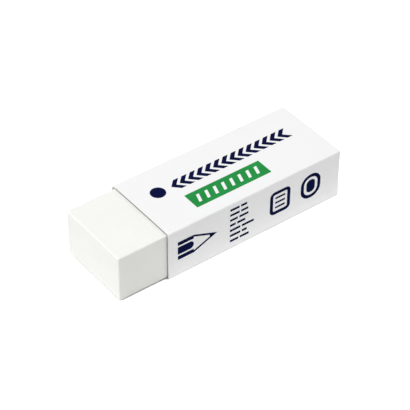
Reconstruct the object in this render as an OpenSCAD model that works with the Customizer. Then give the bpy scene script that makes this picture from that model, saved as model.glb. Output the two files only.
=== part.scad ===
// Block eraser in a folded card sleeve, in millimetres.
// X runs along the block, with the bare rubbing end at -X. Y crosses the broad faces and Z is up.
// The origin is the centre of the underside of the whole part.

/* [Eraser block] */
// Length of the block
block_len = 65; // [58:0.5:85]
// Width of the block across its broad faces
block_w = 21.2; // [17:0.1:32]
// Height of the block
block_h = 12.9; // [10:0.1:20]
// Rounding of the four long edges
long_edge_r = 0.4; // [0.2:0.05:1.5]
// Rounding of the upright edges at both ends
end_corner_r = 0.7; // [0.3:0.1:3]
// Rounding where the ends meet the broad faces
end_edge_r = 0.7; // [0.2:0.05:2.5]

/* [Card sleeve] */
// Length of the sleeve, whose rear edge is level with the rear end of the block
sleeve_len = 51.5; // [48:0.1:56]
// Thickness of the card
card_t = 0.4; // [0.25:0.05:0.8]
// Inside radius of the four folds
fold_r = 0.05; // [0.05:0.05:0.5]
// Clearance between block and card on every side
slide_gap = 0.1; // [0.05:0.05:0.4]
// Thickness of the glue between the flap and the outer lap
glue_t = 0.05; // [0.03:0.01:0.15]
// Unglued margin along both cut edges of the seam
glue_margin = 1.2; // [0.4:0.1:3]
// Distance from the top of the sleeve down to the cut edge of the outer lap
lap_drop = 0.7; // [0.3:0.05:2]
// Distance from the bottom panel up to the cut edge of the inner flap
flap_lift = 0.6; // [0.3:0.05:2]

/* [Print on the top panel] */
// Thickness of the ink
ink_t = 0.04; // [0.02:0.01:0.1]
// Bare card before the round spot, at the rubbing end
band_lead = 5; // [2:0.1:8]
// Bare card behind the row of chevrons
band_tail = 5.5; // [2:0.1:8]
// Diameter of the round spot
spot_d = 3.9; // [2:0.1:5]
// Bare card between the round spot and the first chevron
spot_gap = 1.8; // [0.5:0.1:3]
// Height of the chevrons across the panel
band_h = 3.6; // [2:0.1:4.4]
// Offset of the chevrons from the middle of the panel, towards the back
band_off = 2.05; // [1.6:0.05:4]
// Number of chevrons
chevron_count = 14; // [6:1:16]
// Width of a chevron's stroke along the sleeve
chevron_stroke = 1.5; // [0.6:0.05:1.6]
// Bare card before the green label, at the rubbing end
label_lead = 11.2; // [3:0.1:16]
// Length of the green label
label_len = 22; // [12:0.1:25]
// Height of the green label across the panel
label_h = 5.2; // [3:0.1:6]
// Offset of the green label from the middle of the panel, towards the front
label_off = 4.95; // [4.6:0.05:5.5]
// Number of white bars left bare in the label
label_bars = 8; // [3:1:9]
// Length of a white bar across the label
label_bar_h = 2.6; // [1:0.1:2.8]
// Width of a white bar along the label
label_bar_w = 0.85; // [0.4:0.05:1.2]
// How far a white bar leans towards the rear of the sleeve
label_bar_lean = 0.85; // [0:0.05:1.2]

/* [Print on the front panel] */
// Height of the pencil's and the two signs' middle over the panel's middle
sign_lift = 0.5; // [0:0.1:0.7]
// Bare card before the pencil, at the rubbing end
pencil_lead = 2.8; // [1:0.1:5]
// Length of the pencil's striped barrel
barrel_len = 4.6; // [3:0.1:6]
// Length of the pencil's sharpened cone
cone_len = 6.8; // [5:0.1:7.5]
// Length of the solid lead at the cone's point
lead_len = 2.2; // [2:0.1:3]
// Width of the pencil's barrel
pencil_w = 5.4; // [4.6:0.1:6.5]
// Width of the two stripes along the barrel's sides
stripe_w = 1.1; // [0.5:0.05:1.2]
// Bare card between the barrel's stripes
stripe_gap = 0.5; // [0.3:0.05:0.8]
// Stroke of the fine outlines and of the lines on the page
fine_stroke = 0.54; // [0.2:0.02:0.56]
// Bare card before the rows of dashes
rows_lead = 18; // [16:0.1:19]
// Bare card above and below the rows of dashes, before rows_lift raises them
rows_margin = 1.4; // [0.8:0.1:3]
// Height of the rows' middle over the panel's middle
rows_lift = 0.3; // [0:0.1:0.6]
// Thickness of a dash
dash_t = 0.65; // [0.3:0.05:0.8]
// Bare card between the two dashes of a row
dash_gap = 0.45; // [0.3:0.05:0.8]
// Width of the page
page_w = 6.2; // [5:0.1:6.8]
// Height of the page
page_h = 7; // [5.5:0.1:8.5]
// Rounding of the page's corners
page_r = 1.4; // [1.1:0.1:2]
// Distance between the lines on the page
page_line_step = 1.45; // [0.8:0.05:1.6]
// Bare card between the page's frame and the ends of its lines
page_margin = 0.65; // [0.3:0.05:1]
// Width of the round sign
round_w = 6.1; // [6:0.1:7]
// Height of the round sign
round_h = 7.3; // [6.5:0.1:8.5]
// Rounding of the round sign's ends
round_r = 2.9; // [2.4:0.1:2.9]
// Bare card between the round sign's frame and its solid middle
round_gap = 0.8; // [0.6:0.1:1.3]
// Bare card between the page and the round sign
sign_gap = 3.3; // [2:0.1:4]
// Bare card behind the round sign
sign_tail = 5.9; // [4:0.1:7]
// Stroke of the two signs' frames
frame_stroke = 0.95; // [0.5:0.05:1]

/* [Hidden] */
$fn = 48;

// Free space inside the sleeve
cavity_w = block_w + 2 * slide_gap;
cavity_h = block_h + 2 * slide_gap;

// Outside of the sleeve: the back is three layers thick, the flap, the glue and the lap
sleeve_w = cavity_w + 3 * card_t + glue_t;
sleeve_h = cavity_h + 2 * card_t;
front_y = -sleeve_w / 2;
sleeve_x = block_len / 2 - sleeve_len;

// Inside face of the flap, and the middle of the block, which the thicker back moves forwards
flap_y = front_y + card_t + cavity_w;
block_y = front_y + card_t + cavity_w / 2;
block_z = card_t + slide_gap;

// Heights of the seam's two cut edges
flap_low_z = card_t + flap_lift;
lap_top_z = sleeve_h - lap_drop;

// Flat lengths of the blank's five panels between the folds: flap, top, front, bottom, lap
PANELS = [
    card_t + cavity_h - fold_r - flap_low_z,
    cavity_w - 2 * fold_r,
    cavity_h - 2 * fold_r,
    cavity_w + card_t + glue_t - 2 * fold_r,
    lap_top_z - card_t - fold_r
];

// Lengths of the two dashes in each row on the front panel, uneven as in a short list
DASHES = [[2.7, 1.8], [2.8, 2.1], [2.3, 2.7], [1.7, 2.4], [3.1, 3.6], [3.1, 1.5], [2.5, 2.7]];

// A rectangle from the origin with round corners
module round_rect(w, h, r) {
    translate([r, 0]) square([w - 2 * r, h]);
    translate([0, r]) square([w, h - 2 * r]);
    for (x = [r, w - r], y = [r, h - r])
        translate([x, y]) circle(r);
}

// The block: the common solid of its end view, its plan and its side view, each with its own rounding
module eraser_block() {
    color([0.96, 0.965, 0.94])
    translate([-block_len / 2, block_y - block_w / 2, block_z])
    intersection() {
        rotate([90, 0, 90])
            linear_extrude(block_len) round_rect(block_w, block_h, long_edge_r);
        linear_extrude(block_h) round_rect(block_len, block_w, end_corner_r);
        translate([0, block_w, 0]) rotate([90, 0, 0])
            linear_extrude(block_w) round_rect(block_len, block_h, end_edge_r);
    }
}

// A quarter turn of card to the left, from the origin
module fold() {
    translate([0, fold_r]) intersection() {
        difference() {
            circle(fold_r + card_t);
            circle(fold_r);
        }
        translate([0, -fold_r - card_t]) square(fold_r + card_t);
    }
}

// The blank's panels from number i on, each turned a quarter to the left after the one before
module folded_card(i = 0) {
    translate([0, -card_t]) square([PANELS[i], card_t]);
    if (i < len(PANELS) - 1) {
        translate([PANELS[i], 0]) fold();
        translate([PANELS[i] + fold_r, fold_r]) rotate(90) folded_card(i + 1);
    }
}

// The strip of glue that joins the lap to the flap, which stops short of both cut edges
module glue_line() {
    low = flap_low_z + glue_margin;
    translate([flap_y + card_t, low])
        square([glue_t, lap_top_z - glue_margin - low]);
}

// The sleeve: one strip of card folded round the block, with its seam on the narrow back face
module card_sleeve() {
    color([0.965, 0.965, 0.97])
    translate([sleeve_x, 0, 0])
    rotate([90, 0, 90])
    linear_extrude(sleeve_len) {
        translate([flap_y, flap_low_z]) rotate(90) folded_card();
        glue_line();
    }
}

// Puts a flat design on the top panel, measured from the sleeve's front edge and the panel's middle
module on_top_panel() {
    translate([sleeve_x, 0, sleeve_h]) linear_extrude(ink_t) children();
}

// Puts a flat design on the front panel, this high over its middle and measured from its front edge
module on_front_panel(lift) {
    translate([sleeve_x, front_y, sleeve_h / 2 + lift])
        rotate([90, 0, 0]) linear_extrude(ink_t) children();
}

// One chevron that points towards -X, with its point at the origin
module chevron(depth, stroke, h) {
    polygon([
        [0, 0], [depth, h / 2], [depth + stroke, h / 2],
        [stroke, 0], [depth + stroke, -h / 2], [depth, -h / 2]
    ]);
}

// A round spot and a row of chevrons that point to the rubbing end, all standing on one line
module arrow_band() {
    first = band_lead + spot_d + spot_gap;
    last = sleeve_len - band_tail - band_h / 2 - chevron_stroke;
    step = (last - first) / (chevron_count - 1);
    translate([band_lead + spot_d / 2, band_off + (spot_d - band_h) / 2]) circle(spot_d / 2);
    for (i = [0 : chevron_count - 1])
        translate([first + i * step, band_off]) chevron(band_h / 2, chevron_stroke, band_h);
}

// A bar that leans towards +X, with its middle at the origin
module leaning_bar(w, h, lean) {
    multmatrix([[1, lean / h, 0, 0], [0, 1, 0, 0], [0, 0, 1, 0], [0, 0, 0, 1]])
        square([w, h], center = true);
}

// A green field with a row of leaning bars left bare
module label_field() {
    step = label_len / (label_bars + 1);
    translate([label_lead, -label_off])
    difference() {
        translate([0, -label_h / 2]) square([label_len, label_h]);
        for (i = [1 : label_bars])
            translate([i * step, 0]) leaning_bar(label_bar_w, label_bar_h, label_bar_lean);
    }
}

// The pencil's barrel: a stripe along each side and one with a round end along the middle
module pencil_barrel() {
    middle_w = pencil_w - 2 * (stripe_w + stripe_gap);
    for (y = [-pencil_w / 2, pencil_w / 2 - stripe_w])
        translate([0, y]) square([barrel_len, stripe_w]);
    translate([0, -middle_w / 2]) square([barrel_len - middle_w / 2, middle_w]);
    translate([barrel_len - middle_w / 2, 0]) circle(middle_w / 2);
}

// The pencil's sharpened end from x = 0: an outlined cone with a solid lead
module pencil_cone() {
    half_w = pencil_w / 2;
    edge = fine_stroke * norm([cone_len, half_w]) / cone_len;
    lead_half_w = half_w * lead_len / cone_len;
    polygon([
        [0, half_w], [cone_len, 0], [0, -half_w],
        [0, edge - half_w], [cone_len - lead_len, edge - lead_half_w],
        [cone_len - lead_len, lead_half_w - edge], [0, half_w - edge]
    ]);
}

// A sharpened pencil that points away from the rubbing end
module pencil_sign() {
    translate([pencil_lead, 0]) {
        pencil_barrel();
        translate([barrel_len, 0]) pencil_cone();
    }
}

// Rows of two plain dashes that nearly fill the height of the panel
module dash_rows() {
    step = (sleeve_h - 2 * rows_margin) / len(DASHES);
    for (i = [0 : len(DASHES) - 1])
        translate([rows_lead, sleeve_h / 2 - rows_margin - (i + 0.5) * step - dash_t / 2]) {
            square([DASHES[i][0], dash_t]);
            translate([DASHES[i][0] + dash_gap, 0]) square([DASHES[i][1], dash_t]);
        }
}

// A frame of even width with round corners, from x = 0 and halfway up its height
module round_frame(w, h, r) {
    translate([0, -h / 2])
    difference() {
        round_rect(w, h, r);
        translate([frame_stroke, frame_stroke])
            round_rect(w - 2 * frame_stroke, h - 2 * frame_stroke, r - frame_stroke);
    }
}

// A page with round corners and three lines on it
module page_sign() {
    start = frame_stroke + page_margin;
    round_frame(page_w, page_h, page_r);
    for (i = [-1 : 1])
        translate([start, i * page_line_step - fine_stroke / 2])
            square([page_w - 2 * start, fine_stroke]);
}

// A frame with round ends and a solid middle of the same form
module round_sign() {
    inset = frame_stroke + round_gap;
    round_frame(round_w, round_h, round_r);
    translate([inset, inset - round_h / 2])
        round_rect(round_w - 2 * inset, round_h - 2 * inset, round_r - inset);
}

// Everything printed in dark blue
module blue_print() {
    round_x = sleeve_len - sign_tail - round_w;
    color([0.1, 0.11, 0.33]) {
        on_top_panel() arrow_band();
        on_front_panel(rows_lift) dash_rows();
        on_front_panel(sign_lift) {
            pencil_sign();
            translate([round_x - sign_gap - page_w, 0]) page_sign();
            translate([round_x, 0]) round_sign();
        }
    }
}

// Everything printed in green
module green_print() {
    color([0.1, 0.58, 0.25]) on_top_panel() label_field();
}

eraser_block();
card_sleeve();
blue_print();
green_print();
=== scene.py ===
"""The looks of a block eraser in a folded card sleeve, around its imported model. Metres, +Z up."""

import math

import bmesh
import bpy
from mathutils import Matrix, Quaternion, Vector


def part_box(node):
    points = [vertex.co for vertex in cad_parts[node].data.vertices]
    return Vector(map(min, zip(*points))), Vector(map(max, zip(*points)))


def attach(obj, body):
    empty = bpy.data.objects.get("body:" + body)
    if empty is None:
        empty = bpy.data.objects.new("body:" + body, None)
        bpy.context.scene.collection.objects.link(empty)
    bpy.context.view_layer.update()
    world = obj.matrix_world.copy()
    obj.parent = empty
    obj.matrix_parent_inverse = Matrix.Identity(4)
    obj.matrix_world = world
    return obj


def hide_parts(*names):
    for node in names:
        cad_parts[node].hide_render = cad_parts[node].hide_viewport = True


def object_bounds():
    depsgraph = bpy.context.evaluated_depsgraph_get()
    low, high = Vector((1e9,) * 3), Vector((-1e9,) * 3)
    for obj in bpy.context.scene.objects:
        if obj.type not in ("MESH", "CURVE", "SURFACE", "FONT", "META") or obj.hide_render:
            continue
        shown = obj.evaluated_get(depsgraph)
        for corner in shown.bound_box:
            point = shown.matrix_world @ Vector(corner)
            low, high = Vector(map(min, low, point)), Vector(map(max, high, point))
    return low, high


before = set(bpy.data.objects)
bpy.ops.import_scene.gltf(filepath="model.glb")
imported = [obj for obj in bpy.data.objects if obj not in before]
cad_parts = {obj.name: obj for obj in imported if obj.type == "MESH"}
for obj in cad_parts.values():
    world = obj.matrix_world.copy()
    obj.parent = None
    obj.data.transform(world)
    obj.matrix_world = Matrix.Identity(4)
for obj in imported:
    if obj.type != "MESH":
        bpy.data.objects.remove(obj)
cad_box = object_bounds()
bpy.context.scene.view_settings.view_transform = "Standard"

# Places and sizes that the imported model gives
MM = 0.001
BLOCK_LOW, BLOCK_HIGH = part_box("eraser_block")
SLEEVE_LOW, SLEEVE_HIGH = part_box("card_sleeve")
BLOCK_MIDDLE = (BLOCK_LOW + BLOCK_HIGH) / 2
SLEEVE_MIDDLE = (SLEEVE_LOW + SLEEVE_HIGH) / 2
PART_MIDDLE = (cad_box[0] + cad_box[1]) / 2

# Block: the rounding of its edges, the mesh on its faces, which starts a little inside the
# roundings, and how uneven the faces are
LONG_EDGE_R = 0.35 * MM
END_EDGE_R = 0.35 * MM
END_CORNER_R = 0.4 * MM
ROUNDING_STEPS = 8
FACE_INSET = 1.05 * END_CORNER_R
BLOCK_GRID = 0.9 * MM
BLOCK_WAVE = 9 * MM
BLOCK_WAVE_DEPTH = 0.06 * MM

# Sleeve: the card, its folds and its glued seam
CARD_T = 0.4 * MM
FOLD_R = 0.28 * MM
CREASE_R = 0.05 * MM
FOLD_STEPS = 6
GLUE_T = 0.05 * MM
GLUE_MARGIN = 1.2 * MM
GLUE_INSET = 0.3 * MM
FLAP_LIFT = 0.6 * MM
LAP_DROP = 0.7 * MM
CUT_EDGE_R = 0.03 * MM
CUT_EDGE_TURN = math.radians(60)
CUT_EDGE_STEPS = 2
SLEEVE_GRID = 1.0 * MM

# Sleeve: how far the middle of a panel bows out at the front end, halfway and at the rear end,
# and how much of that each row of the lattice takes across the top. The side panels dip in.
TOP_BOW = (0.12 * MM, 0.05 * MM, 0.14 * MM)
SIDE_BOW = (-0.09 * MM, -0.09 * MM, -0.09 * MM)
BOW_SHARE = (0, 0.75, 1, 0.75, 0)

# Ink: its height over the card, its depth in the card and the rounding of its corners
INK_T = 0.02 * MM
INK_DEPTH = 0.01 * MM
INK_CORNER_R = 0.09 * MM
INK_CORNER_STEPS = 3
INK_CORNER_TURN = math.radians(25)

# Limits for picking edges and faces: how true an edge runs along an axis, how square a face
# is to a direction, the turn under which two faces are one plane, and the gap between doubles
TRUE_RUN = 0.999
SQUARE_ON = 0.9
FLAT_TURN = math.radians(1)
DOUBLES_GAP = 0.001 * MM

# Colours: red, green and blue
RUBBER_COLOR = (0.90, 0.905, 0.865)
CARD_COLOR = (0.90, 0.90, 0.905)
CARD_BACK_COLOR = (0.56, 0.54, 0.50)
# Cut edge: grey pulp darkened well below the card's grey back, as painted shade of the gap between
# block and card; the seam's layers keep a paler pulp without that painted shade
GAP_SHADED_PULP_COLOR = (0.24, 0.24, 0.235)
SEAM_PULP_COLOR = (0.62, 0.62, 0.61)
COAT_COLOR = (0.85, 0.85, 0.85)
GLUE_COLOR = (0.75, 0.7, 0.58)
BLUE_COLOR = (0.005, 0.008, 0.05)
GREEN_COLOR = (0.0235, 0.285, 0.064)

# Noise: the part of its range that is spread over the values it drives
NOISE_RANGE = {"From Min": 0.3, "From Max": 0.7}

# Camera: where it looks from, in degrees and metres, its lens, what it looks at, and its reach,
# which is how many times nearer and further than the part it still sees
CAMERA_AZIMUTH = -37.18
CAMERA_ELEVATION = 40.32
CAMERA_ROLL = 0.3
CAMERA_DISTANCE = 0.4187
CAMERA_REACH = 100
CAMERA_LENS_MM = 153.7
SENSOR_MM = 36
AIM_RIGHT = 0.09 * MM
AIM_DOWN = 1.02 * MM

# Light: a strength of 1 lights a face that is turned to the lamp as a plain white needs
SKY_LIGHT = 0.43
KEY_AZIMUTH = -88
KEY_ELEVATION = 63
KEY_DISTANCE = 2.0
KEY_SIZE = 1.2
KEY_LIGHT = 0.75

# Low light: a soft strip that lies at the foot of the sleeve and shines up
STRIP_LENGTH = 67 * MM
STRIP_WIDTH = 6 * MM
STRIP_HEIGHT = 0.2 * MM
STRIP_GLOW = 0.4

# Floor: its size and its own colour, how near to the part its white glow fades, and the
# openness at which the glow starts and is full
FLOOR_SIZE = 1.6
FLOOR_TONE = 0.82
GLOW_REACH = 5 * MM
GLOW_SAMPLES = 16
GLOW_OPEN = (0.25, 0.5)


# Objects and shader nodes


def deselect():
    bpy.ops.object.select_all(action="DESELECT")


def place(name, data, location, rotation):
    thing = bpy.data.objects.new(name, data)
    thing.location = location
    thing.rotation_mode = "QUATERNION"
    thing.rotation_quaternion = rotation
    bpy.context.scene.collection.objects.link(thing)
    return thing


def empty_tree(owner):
    """The node tree of a new material or sky, with nothing in it."""
    owner.use_nodes = True
    owner.node_tree.nodes.clear()
    return owner.node_tree


def socket(sockets, name):
    """The socket with this number, or the one in use with this name. Some are hidden doubles."""
    if isinstance(name, int):
        return sockets[name]
    return next(s for s in sockets if s.enabled and s.name == name)


def add(tree, kind, inputs=None, **properties):
    """A node with these properties, and these plain values of its inputs."""
    node = tree.nodes.new(kind)
    for name, value in properties.items():
        setattr(node, name, value)
    for name, value in (inputs or {}).items():
        socket(node.inputs, name).default_value = value
    return node


def link(tree, *pairs):
    """Links pairs of (node, output) and (node, input), each by its name or number."""
    for (giver, given), (taker, taken) in pairs:
        tree.links.new(socket(giver.outputs, given), socket(taker.inputs, taken))


def seen_directly(tree):
    """A node that gives 1 to the camera and to reflections, and 0 to the light on the part."""
    paths = add(tree, "ShaderNodeLightPath")
    seen = add(tree, "ShaderNodeMath", operation="MAXIMUM")
    link(
        tree,
        ((paths, "Is Camera Ray"), (seen, 0)),
        ((paths, "Is Glossy Ray"), (seen, 1)),
    )
    return seen


# Camera, lamps, sky and floor


def direction(azimuth, elevation):
    """The unit vector from the part towards a viewer. Azimuth 0 looks along +Y."""
    a, e = math.radians(azimuth), math.radians(elevation)
    return Vector((math.sin(a) * math.cos(e), -math.cos(a) * math.cos(e), math.sin(e)))


def add_camera():
    back = direction(CAMERA_AZIMUTH, CAMERA_ELEVATION)
    facing = back.to_track_quat("Z", "Y")
    roll = Quaternion((0, 0, 1), math.radians(CAMERA_ROLL))
    aim = PART_MIDDLE + facing @ Vector((AIM_RIGHT, -AIM_DOWN, 0))
    data = bpy.data.cameras.new("camera")
    data.sensor_width = SENSOR_MM
    data.lens = CAMERA_LENS_MM
    data.clip_start = CAMERA_DISTANCE / CAMERA_REACH
    data.clip_end = CAMERA_DISTANCE * CAMERA_REACH
    camera = place("camera", data, aim + back * CAMERA_DISTANCE, facing @ roll)
    bpy.context.scene.camera = camera


def add_lamp(name, location, rotation, width, length, glow):
    """A rectangular soft box that glows at this strength, and that the camera doesn't see."""
    data = bpy.data.lights.new(name, "AREA")
    data.shape = "RECTANGLE"
    data.size = width
    data.size_y = length
    data.energy = glow * math.pi * width * length
    lamp = place(name, data, location, rotation)
    lamp.visible_camera = False


def add_lamps():
    back = direction(KEY_AZIMUTH, KEY_ELEVATION)
    spot = PART_MIDDLE + back * KEY_DISTANCE
    glow = KEY_LIGHT * math.pi * (KEY_DISTANCE / KEY_SIZE) ** 2
    add_lamp("key", spot, back.to_track_quat("Z", "Y"), KEY_SIZE, KEY_SIZE, glow)
    foot = Vector((STRIP_LENGTH / 2, -STRIP_WIDTH / 2, STRIP_HEIGHT))
    spot = Vector((SLEEVE_LOW.x, SLEEVE_LOW.y, 0)) + foot
    upwards = Quaternion((1, 0, 0), math.pi)
    add_lamp("strip", spot, upwards, STRIP_LENGTH, STRIP_WIDTH, STRIP_GLOW)


def add_sky():
    """An even sky that lights at SKY_LIGHT, and that the camera and reflections see as white."""
    world = bpy.data.worlds.new("sky")
    tree = empty_tree(world)
    seen = seen_directly(tree)
    strength = add(tree, "ShaderNodeMapRange", {"To Min": SKY_LIGHT, "To Max": 1})
    background = add(tree, "ShaderNodeBackground", {"Color": (1, 1, 1, 1)})
    output = add(tree, "ShaderNodeOutputWorld")
    link(
        tree,
        ((seen, 0), (strength, "Value")),
        ((strength, "Result"), (background, "Strength")),
        ((background, 0), (output, "Surface")),
    )
    bpy.context.scene.world = world


def floor_finish():
    """Matt white that the camera sees as pure white, but for the shade close to the part."""
    material = bpy.data.materials.new("white_floor")
    tree = empty_tree(material)
    seen = seen_directly(tree)
    open_air = add(
        tree, "ShaderNodeAmbientOcclusion", {"Distance": GLOW_REACH}, samples=GLOW_SAMPLES
    )
    start, full = GLOW_OPEN
    lit = add(tree, "ShaderNodeMapRange", {"From Min": start, "From Max": full})
    strength = add(tree, "ShaderNodeMath", operation="MULTIPLY")
    tone = (FLOOR_TONE, FLOOR_TONE, FLOOR_TONE, 1)
    matt = add(tree, "ShaderNodeBsdfDiffuse", {"Color": tone})
    glow = add(tree, "ShaderNodeEmission")
    both = add(tree, "ShaderNodeAddShader")
    output = add(tree, "ShaderNodeOutputMaterial")
    link(
        tree,
        ((open_air, "AO"), (lit, "Value")),
        ((seen, 0), (strength, 0)),
        ((lit, "Result"), (strength, 1)),
        ((strength, 0), (glow, "Strength")),
        ((matt, 0), (both, 0)),
        ((glow, 0), (both, 1)),
        ((both, 0), (output, "Surface")),
    )
    return material


def add_floor():
    deselect()
    bpy.ops.mesh.primitive_plane_add(size=FLOOR_SIZE, location=(0, 0, 0))
    floor = bpy.context.object
    floor.name = "floor"
    floor.data.materials.append(floor_finish())


# Modelling


def work_on(piece):
    deselect()
    piece.select_set(True)
    bpy.context.view_layer.objects.active = piece


def edit(piece):
    work_on(piece)
    bpy.ops.object.mode_set(mode="EDIT")
    bpy.ops.mesh.select_all(action="DESELECT")


def stop_edit():
    bpy.ops.object.mode_set(mode="OBJECT")


def settle(piece):
    """Puts the piece's place, turn and size into its mesh."""
    work_on(piece)
    bpy.ops.object.transform_apply(location=True, rotation=True, scale=True)


def finish_with(piece, kind, **values):
    """Adds a modifier with these values and applies it."""
    work_on(piece)
    modifier = piece.modifiers.new(kind.lower(), kind)
    for name, value in values.items():
        setattr(modifier, name, value)
    bpy.ops.object.modifier_apply(modifier=modifier.name)


def pick_edges(piece, rule):
    """In edit mode, selects only the edges that rule accepts."""
    mesh = bmesh.from_edit_mesh(piece.data)
    bpy.ops.mesh.select_mode(type="EDGE")
    bpy.ops.mesh.select_all(action="DESELECT")
    for edge in mesh.edges:
        if rule(edge):
            edge.select_set(True)
    bmesh.update_edit_mesh(piece.data)


def pick_faces(piece, rule):
    """In edit mode, selects only the faces that rule accepts."""
    mesh = bmesh.from_edit_mesh(piece.data)
    mesh.normal_update()
    bpy.ops.mesh.select_mode(type="FACE")
    bpy.ops.mesh.select_all(action="DESELECT")
    for face in mesh.faces:
        if rule(face):
            face.select_set(True)
    bmesh.update_edit_mesh(piece.data)


def runs_along(edge, axis):
    """True if the edge runs along X, Y or Z, which are axis 0, 1 and 2."""
    line = edge.verts[1].co - edge.verts[0].co
    return abs(line[axis]) > TRUE_RUN * line.length


def slice_across(piece, axis, low, high, step):
    """In edit mode, cuts the piece by even planes across an axis, so that it can curve."""
    count = max(1, round((high - low) / step))
    normal = [0, 0, 0]
    normal[axis] = 1
    bpy.ops.mesh.select_mode(type="FACE")
    for i in range(1, count):
        point = [0, 0, 0]
        point[axis] = low + (high - low) * i / count
        bpy.ops.mesh.select_all(action="SELECT")
        bpy.ops.mesh.bisect(plane_co=point, plane_no=normal)


def smooth(piece):
    work_on(piece)
    bpy.ops.object.shade_smooth()
    finish_with(piece, "WEIGHTED_NORMAL", mode="FACE_AREA", weight=50, keep_sharp=True)


def clouds(name, size):
    texture = bpy.data.textures.new(name, "CLOUDS")
    texture.noise_scale = size
    texture.noise_depth = 1
    return texture


def make_block():
    """The rubber block: a box whose edges are rounded by group, with faces that wave a little."""
    deselect()
    bpy.ops.mesh.primitive_cube_add(size=1, location=BLOCK_MIDDLE, scale=BLOCK_HIGH - BLOCK_LOW)
    block = bpy.context.object
    block.name = "rubber_block"
    settle(block)
    edit(block)
    for axis, radius in enumerate((LONG_EDGE_R, END_EDGE_R, END_CORNER_R)):
        pick_edges(block, lambda edge, axis=axis: runs_along(edge, axis))
        bpy.ops.transform.edge_bevelweight(value=radius / END_CORNER_R)
    stop_edit()
    finish_with(
        block, "BEVEL", limit_method="WEIGHT", width=END_CORNER_R, segments=ROUNDING_STEPS
    )
    edit(block)
    for axis in range(3):
        low, high = BLOCK_LOW[axis] + FACE_INSET, BLOCK_HIGH[axis] - FACE_INSET
        slice_across(block, axis, low, high, BLOCK_GRID)
    stop_edit()
    wave = clouds("block_wave", BLOCK_WAVE)
    finish_with(
        block, "DISPLACE", texture=wave, texture_coords="LOCAL", strength=BLOCK_WAVE_DEPTH,
        mid_level=1,
    )
    smooth(block)
    return block


def is_fold(edge, y, z):
    """True if the edge is the fold that runs along X at this y and z."""
    near = CARD_T / 4
    return runs_along(edge, 0) and all(
        abs(v.co.y - y) < near and abs(v.co.z - z) < near for v in edge.verts
    )


def make_sleeve():
    """The sleeve: a strip of card folded four times, from the inner flap to the outer lap."""
    inner_low = SLEEVE_LOW + Vector((0, CARD_T, CARD_T))
    inner_high = SLEEVE_HIGH - Vector((0, 2 * CARD_T + GLUE_T, CARD_T))
    lap_y = inner_high.y + CARD_T + GLUE_T
    flap_low = inner_low.z + FLAP_LIFT
    turns = (
        Vector((0, inner_low.y - inner_high.y, 0)),
        Vector((0, 0, inner_low.z - inner_high.z)),
        Vector((0, lap_y - inner_low.y, 0)),
        Vector((0, 0, SLEEVE_HIGH.z - LAP_DROP - inner_low.z)),
    )
    creases = (
        (inner_high.y, inner_high.z),
        (inner_low.y, inner_high.z),
        (inner_low.y, inner_low.z),
        (lap_y, inner_low.z),
    )
    folds = [
        (y + math.copysign(CARD_T, y), z + math.copysign(CARD_T, z - SLEEVE_MIDDLE.z))
        for y, z in creases
    ]
    deselect()
    bpy.ops.mesh.primitive_plane_add(size=1, rotation=(math.radians(90), 0, 0))
    sleeve = bpy.context.object
    sleeve.name = "folded_sleeve"
    sleeve.location = (SLEEVE_MIDDLE.x, inner_high.y, (flap_low + inner_high.z) / 2)
    sleeve.scale = (SLEEVE_HIGH.x - SLEEVE_LOW.x, inner_high.z - flap_low, 1)
    settle(sleeve)
    edit(sleeve)
    pick_edges(sleeve, lambda edge: is_fold(edge, *creases[0]))
    for turn in turns:
        bpy.ops.mesh.extrude_region_move(TRANSFORM_OT_translate={"value": turn})
    bpy.ops.mesh.select_all(action="SELECT")
    bpy.ops.mesh.normals_make_consistent(inside=False)
    stop_edit()
    outside, inside, cut = range(3)
    for _ in (outside, inside, cut):
        sleeve.data.materials.append(None)
    finish_with(
        sleeve, "SOLIDIFY", thickness=CARD_T, offset=1, use_even_offset=True,
        material_offset=inside, material_offset_rim=cut,
    )
    edit(sleeve)
    for lines, radius in ((creases, CREASE_R), (folds, FOLD_R)):
        pick_edges(sleeve, lambda edge, lines=lines: any(is_fold(edge, *yz) for yz in lines))
        bpy.ops.mesh.bevel(offset=radius, segments=FOLD_STEPS, affect="EDGES")
    slice_across(sleeve, 0, SLEEVE_LOW.x, SLEEVE_HIGH.x, SLEEVE_GRID)
    slice_across(sleeve, 1, inner_low.y + FOLD_R, inner_high.y - FOLD_R, SLEEVE_GRID)
    slice_across(sleeve, 2, flap_low, inner_high.z - FOLD_R, SLEEVE_GRID)
    stop_edit()
    coated = {
        v for face in sleeve.data.polygons if face.material_index == outside
        for v in face.vertices
    }
    seam_y = inner_high.y - CARD_T / 4
    mark_points(sleeve, "ply", lambda point: point.index in coated)
    mark_points(sleeve, "seam", lambda point: point.co.y > seam_y)
    return sleeve


def mark_points(piece, name, rule):
    """Stores 1 on the points that rule accepts and 0 on the others."""
    mark = piece.data.attributes.new(name, "FLOAT", "POINT")
    for point, value in zip(piece.data.vertices, mark.data):
        value.value = 1 if rule(point) else 0


def make_glue():
    """The glue in the seam, a little short of the card's cut edges."""
    high = SLEEVE_HIGH - Vector((GLUE_INSET, CARD_T, LAP_DROP + GLUE_MARGIN))
    low = Vector((SLEEVE_LOW.x + GLUE_INSET, high.y - GLUE_T, CARD_T + FLAP_LIFT + GLUE_MARGIN))
    deselect()
    bpy.ops.mesh.primitive_cube_add(size=1, location=(low + high) / 2, scale=high - low)
    glue = bpy.context.object
    glue.name = "seam_glue"
    settle(glue)
    edit(glue)
    slice_across(glue, 0, low.x, high.x, SLEEVE_GRID)
    slice_across(glue, 2, low.z, high.z, SLEEVE_GRID)
    stop_edit()
    return glue


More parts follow.
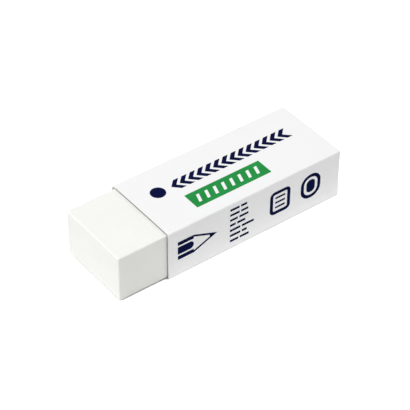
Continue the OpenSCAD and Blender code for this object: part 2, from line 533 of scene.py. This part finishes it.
def make_bow():
    """A lattice that bows the sleeve's top panel out, most at the open ends, and its sides in."""
    deselect()
    bpy.ops.object.add(type="LATTICE", location=SLEEVE_MIDDLE)
    bow = bpy.context.object
    size = SLEEVE_HIGH - SLEEVE_LOW
    bow.scale = size
    cage = bow.data
    along, across, up = len(TOP_BOW), len(BOW_SHARE), 3
    cage.points_u, cage.points_v, cage.points_w = along, across, up
    for way in "uvw":
        setattr(cage, "interpolation_type_" + way, "KEY_CATMULL_ROM")
    for i, point in enumerate(cage.points):
        u, v, w = i % along, i // along % across, i // (along * across)
        move = Vector((0, 0, 0))
        if w == up - 1:
            move.z = TOP_BOW[u] * BOW_SHARE[v] / size.z
        elif w > 0 and v == 0:
            move.y = -SIDE_BOW[u] / size.y
        elif w > 0 and v == across - 1:
            move.y = SIDE_BOW[u] / size.y
        point.co_deform = Vector(point.co_deform) + move
    return bow


def printed_sheet(name, node, outward, sleeve):
    """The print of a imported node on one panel, as a thin film that follows the bowed card."""
    sheet = place(name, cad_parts[node].data.copy(), (0, 0, 0), (1, 0, 0, 0))
    axis = max(range(3), key=lambda i: abs(outward[i]))
    surface = SLEEVE_HIGH[axis] if outward[axis] > 0 else SLEEVE_LOW[axis]
    edit(sheet)
    bpy.ops.mesh.select_all(action="SELECT")
    bpy.ops.mesh.remove_doubles(threshold=DOUBLES_GAP)
    pick_faces(sheet, lambda face: abs(face.calc_center_median()[axis] - surface) > CARD_T)
    bpy.ops.mesh.delete(type="FACE")
    bpy.ops.mesh.select_all(action="SELECT")
    bpy.ops.mesh.dissolve_limited(angle_limit=FLAT_TURN)
    pick_edges(
        sheet,
        lambda edge: runs_along(edge, axis) and edge.calc_face_angle(0) > INK_CORNER_TURN,
    )
    bpy.ops.mesh.bevel(offset=INK_CORNER_R, segments=INK_CORNER_STEPS, affect="EDGES")
    pick_faces(sheet, lambda face: face.normal.dot(outward) < SQUARE_ON)
    bpy.ops.mesh.delete(type="FACE")
    for other in {0, 1, 2} - {axis}:
        slice_across(sheet, other, SLEEVE_LOW[other], SLEEVE_HIGH[other], SLEEVE_GRID)
    stop_edit()
    finish_with(
        sheet, "SHRINKWRAP", target=sleeve, wrap_method="PROJECT", project_limit=CARD_T / 2,
        use_negative_direction=True, use_positive_direction=True,
        **{"use_project_" + "xyz"[axis]: True},
    )
    whole = INK_T + INK_DEPTH
    finish_with(sheet, "SOLIDIFY", thickness=whole, offset=(INK_T - INK_DEPTH) / whole)
    return sheet


def join(name, pieces):
    deselect()
    for piece in pieces:
        piece.select_set(True)
    bpy.context.view_layer.objects.active = pieces[0]
    bpy.ops.object.join()
    pieces[0].name = name
    return pieces[0]


# Finishes


def new_group(name, inputs, outputs):
    """An empty shader node group: its inputs by plain value, and its outputs by kind."""
    group = bpy.data.node_groups.new(name, "ShaderNodeTree")
    for label, value in inputs.items():
        kind = "Color" if isinstance(value, tuple) else "Vector" if value is None else "Float"
        given = group.interface.new_socket(
            name=label, in_out="INPUT", socket_type="NodeSocket" + kind
        )
        if value is not None:
            given.default_value = value
    for label, kind in outputs.items():
        group.interface.new_socket(name=label, in_out="OUTPUT", socket_type="NodeSocket" + kind)
    return group, add(group, "NodeGroupInput"), add(group, "NodeGroupOutput")


def tone_group():
    """Varies a colour's brightness by slow and fine noise."""
    group, given, made = new_group(
        "tone_variation",
        {
            "Vector": None, "Color": (1, 1, 1, 1),
            "Slow Scale": 100, "Fine Scale": 2000, "Amount": 0.02,
        },
        {"Color": "Color"},
    )
    slow = add(group, "ShaderNodeTexNoise", {"Detail": 2})
    fine = add(group, "ShaderNodeTexNoise", {"Detail": 1})
    both = add(group, "ShaderNodeMix", {"Factor": 0.5}, data_type="FLOAT")
    swing = add(group, "ShaderNodeMapRange", {**NOISE_RANGE, "To Min": -1, "To Max": 1})
    value = add(group, "ShaderNodeMath", {2: 1}, operation="MULTIPLY_ADD")
    shade = add(group, "ShaderNodeHueSaturation")
    link(
        group,
        ((given, "Vector"), (slow, "Vector")),
        ((given, "Vector"), (fine, "Vector")),
        ((given, "Slow Scale"), (slow, "Scale")),
        ((given, "Fine Scale"), (fine, "Scale")),
        ((slow, "Fac"), (both, "A")),
        ((fine, "Fac"), (both, "B")),
        ((both, "Result"), (swing, "Value")),
        ((swing, "Result"), (value, 0)),
        ((given, "Amount"), (value, 1)),
        ((value, 0), (shade, "Value")),
        ((given, "Color"), (shade, "Color")),
        ((shade, "Color"), (made, "Color")),
    )
    return group


def relief_group():
    """A height from coarse and fine noise, for Bump, and the fine noise alone, for Roughness."""
    group, given, made = new_group(
        "surface_relief",
        {"Vector": None, "Coarse Scale": 500, "Fine Scale": 6000, "Fine Share": 0.4},
        {"Height": "Float", "Fine": "Float"},
    )
    coarse = add(group, "ShaderNodeTexNoise", {"Detail": 2})
    fine = add(group, "ShaderNodeTexNoise", {"Detail": 2})
    both = add(group, "ShaderNodeMix", data_type="FLOAT")
    link(
        group,
        ((given, "Vector"), (coarse, "Vector")),
        ((given, "Vector"), (fine, "Vector")),
        ((given, "Coarse Scale"), (coarse, "Scale")),
        ((given, "Fine Scale"), (fine, "Scale")),
        ((given, "Fine Share"), (both, "Factor")),
        ((coarse, "Fac"), (both, "A")),
        ((fine, "Fac"), (both, "B")),
        ((both, "Result"), (made, "Height")),
        ((fine, "Fac"), (made, "Fine")),
    )
    return group


TONE = tone_group()
RELIEF = relief_group()


def new_finish(name, inputs=None):
    """A material with a Principled shader and these plain values."""
    material = bpy.data.materials.new(name)
    tree = empty_tree(material)
    shader = add(tree, "ShaderNodeBsdfPrincipled", inputs)
    output = add(tree, "ShaderNodeOutputMaterial")
    link(tree, ((shader, "BSDF"), (output, "Surface")))
    return material, tree, shader


def grained(tree, shader, color, tone, relief, bump, rough, stretch=(1, 1, 1)):
    """Varies the shader's colour, roughness and normal along the piece's Object coordinates."""
    spot = add(tree, "ShaderNodeTexCoord")
    turned = add(tree, "ShaderNodeMapping", {"Scale": stretch})
    toned = add(tree, "ShaderNodeGroup", node_tree=TONE)
    raised = add(tree, "ShaderNodeGroup", node_tree=RELIEF)
    for node, values in ((toned, {"Color": (*color, 1), **tone}), (raised, relief)):
        for name, value in values.items():
            socket(node.inputs, name).default_value = value
    low, high = rough
    roughness = add(tree, "ShaderNodeMapRange", {**NOISE_RANGE, "To Min": low, "To Max": high})
    bumped = add(tree, "ShaderNodeBump", {"Distance": bump, "Strength": 1})
    link(
        tree,
        ((spot, "Object"), (turned, "Vector")),
        ((turned, "Vector"), (toned, "Vector")),
        ((turned, "Vector"), (raised, "Vector")),
        ((toned, "Color"), (shader, "Base Color")),
        ((raised, "Fine"), (roughness, "Value")),
        ((roughness, "Result"), (shader, "Roughness")),
        ((raised, "Height"), (bumped, "Height")),
        ((bumped, "Normal"), (shader, "Normal")),
    )
    return toned


def rubber_finish():
    """Dull off-white rubber that lets light in a little."""
    material, tree, shader = new_finish("white_rubber", {
        "Subsurface Weight": 0.1,
        "Subsurface Radius": (1, 0.95, 0.8),
        "Subsurface Scale": 0.6 * MM,
    })
    grained(
        tree, shader, RUBBER_COLOR,
        tone={"Slow Scale": 120, "Fine Scale": 2500, "Amount": 0.02},
        relief={"Coarse Scale": 500, "Fine Scale": 5000, "Fine Share": 0.35},
        bump=0.03 * MM, rough=(0.55, 0.68),
    )
    return material


def coated_card_finish():
    """The outside of the card: a smooth white coat."""
    material, tree, shader = new_finish("coated_card", {"Specular IOR Level": 0.25})
    grained(
        tree, shader, CARD_COLOR, stretch=(0.5, 1, 1),
        tone={"Slow Scale": 150, "Fine Scale": 3000, "Amount": 0.012},
        relief={"Coarse Scale": 700, "Fine Scale": 6000, "Fine Share": 0.3},
        bump=0.012 * MM, rough=(0.38, 0.5),
    )
    return material


def card_back_finish():
    """The inside of the card: bare grey pulp with its fibres along the sleeve."""
    material, tree, shader = new_finish("card_back")
    grained(
        tree, shader, CARD_BACK_COLOR, stretch=(0.4, 1, 1),
        tone={"Slow Scale": 600, "Fine Scale": 5000, "Amount": 0.12},
        relief={"Coarse Scale": 1500, "Fine Scale": 7000, "Fine Share": 0.4},
        bump=0.03 * MM, rough=(0.8, 0.95),
    )
    return material


def cut_card_finish():
    """The cut edge: grey pulp darkened as painted shade of the gap between block and card, paler at
    the seam's layers, which have no painted shade, under a white coat.
    """
    material, tree, shader = new_finish("cut_card")
    toned = grained(
        tree, shader, GAP_SHADED_PULP_COLOR,
        tone={"Slow Scale": 1500, "Fine Scale": 9000, "Amount": 0.25},
        relief={"Coarse Scale": 2500, "Fine Scale": 9000, "Fine Share": 0.5},
        bump=0.06 * MM, rough=(0.85, 0.95),
    )
    # Painted shade: every cut edge but the seam's takes the dark pulp that stands for the gap's
    # shade, and the seam's takes the paler pulp
    seam = add(tree, "ShaderNodeAttribute", attribute_name="seam")
    seam_pulp = add(tree, "ShaderNodeMix", {"B": (*SEAM_PULP_COLOR, 1)}, data_type="RGBA")
    ply = add(tree, "ShaderNodeAttribute", attribute_name="ply")
    coat = add(tree, "ShaderNodeMapRange", {"From Min": 0.9, "From Max": 0.96})
    coated = add(tree, "ShaderNodeMix", {"B": (*COAT_COLOR, 1)}, data_type="RGBA")
    link(
        tree,
        ((seam, "Fac"), (seam_pulp, "Factor")),
        ((toned, "Color"), (seam_pulp, "A")),
        ((ply, "Fac"), (coat, "Value")),
        ((coat, "Result"), (coated, "Factor")),
        ((seam_pulp, "Result"), (coated, "A")),
        ((coated, "Result"), (shader, "Base Color")),
    )
    return material


def ink_finish(name, color):
    """A thin dull ink that shows the card's grain."""
    material, tree, shader = new_finish(name, {"Specular IOR Level": 0})
    grained(
        tree, shader, color, stretch=(0.6, 1, 1),
        tone={"Slow Scale": 300, "Fine Scale": 4000, "Amount": 0.2},
        relief={"Coarse Scale": 700, "Fine Scale": 6000, "Fine Share": 0.3},
        bump=0.012 * MM, rough=(0.36, 0.5),
    )
    return material


def glue_finish():
    """Dried glue, yellowish and a little glossy."""
    material, tree, shader = new_finish("dried_glue")
    grained(
        tree, shader, GLUE_COLOR,
        tone={"Slow Scale": 600, "Fine Scale": 3000, "Amount": 0.1},
        relief={"Coarse Scale": 800, "Fine Scale": 4000, "Fine Share": 0.3},
        bump=0.02 * MM, rough=(0.3, 0.4),
    )
    return material


def dress(piece, body, finishes, nodes=()):
    """Gives a piece its finishes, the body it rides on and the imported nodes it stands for."""
    slots = piece.data.materials
    while len(slots) < len(finishes):
        slots.append(None)
    for i, finish in enumerate(finishes):
        slots[i] = finish
    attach(piece, body)
    if nodes:
        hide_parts(*nodes)


add_camera()
add_lamps()
add_sky()
add_floor()

block = make_block()
sleeve = make_sleeve()
glue = make_glue()
bow = make_bow()
for piece in (sleeve, glue):
    finish_with(piece, "LATTICE", object=bow)
bpy.data.objects.remove(bow)
finish_with(
    sleeve, "BEVEL", limit_method="ANGLE", angle_limit=CUT_EDGE_TURN, width=CUT_EDGE_R,
    segments=CUT_EDGE_STEPS,
)
smooth(sleeve)
blue = join("blue_ink", [
    printed_sheet("top_blue", "blue_print", Vector((0, 0, 1)), sleeve),
    printed_sheet("front_blue", "blue_print", Vector((0, -1, 0)), sleeve),
])
green = printed_sheet("green_ink", "green_print", Vector((0, 0, 1)), sleeve)

card = [coated_card_finish(), card_back_finish(), cut_card_finish()]
dark_blue = ink_finish("dark_blue_ink", BLUE_COLOR)
dress(block, "block", [rubber_finish()], ["eraser_block"])
dress(sleeve, "sleeve", card, ["card_sleeve"])
dress(glue, "sleeve", [glue_finish()])
dress(blue, "sleeve", [dark_blue], ["blue_print"])
dress(green, "sleeve", [ink_finish("green_ink", GREEN_COLOR)], ["green_print"])
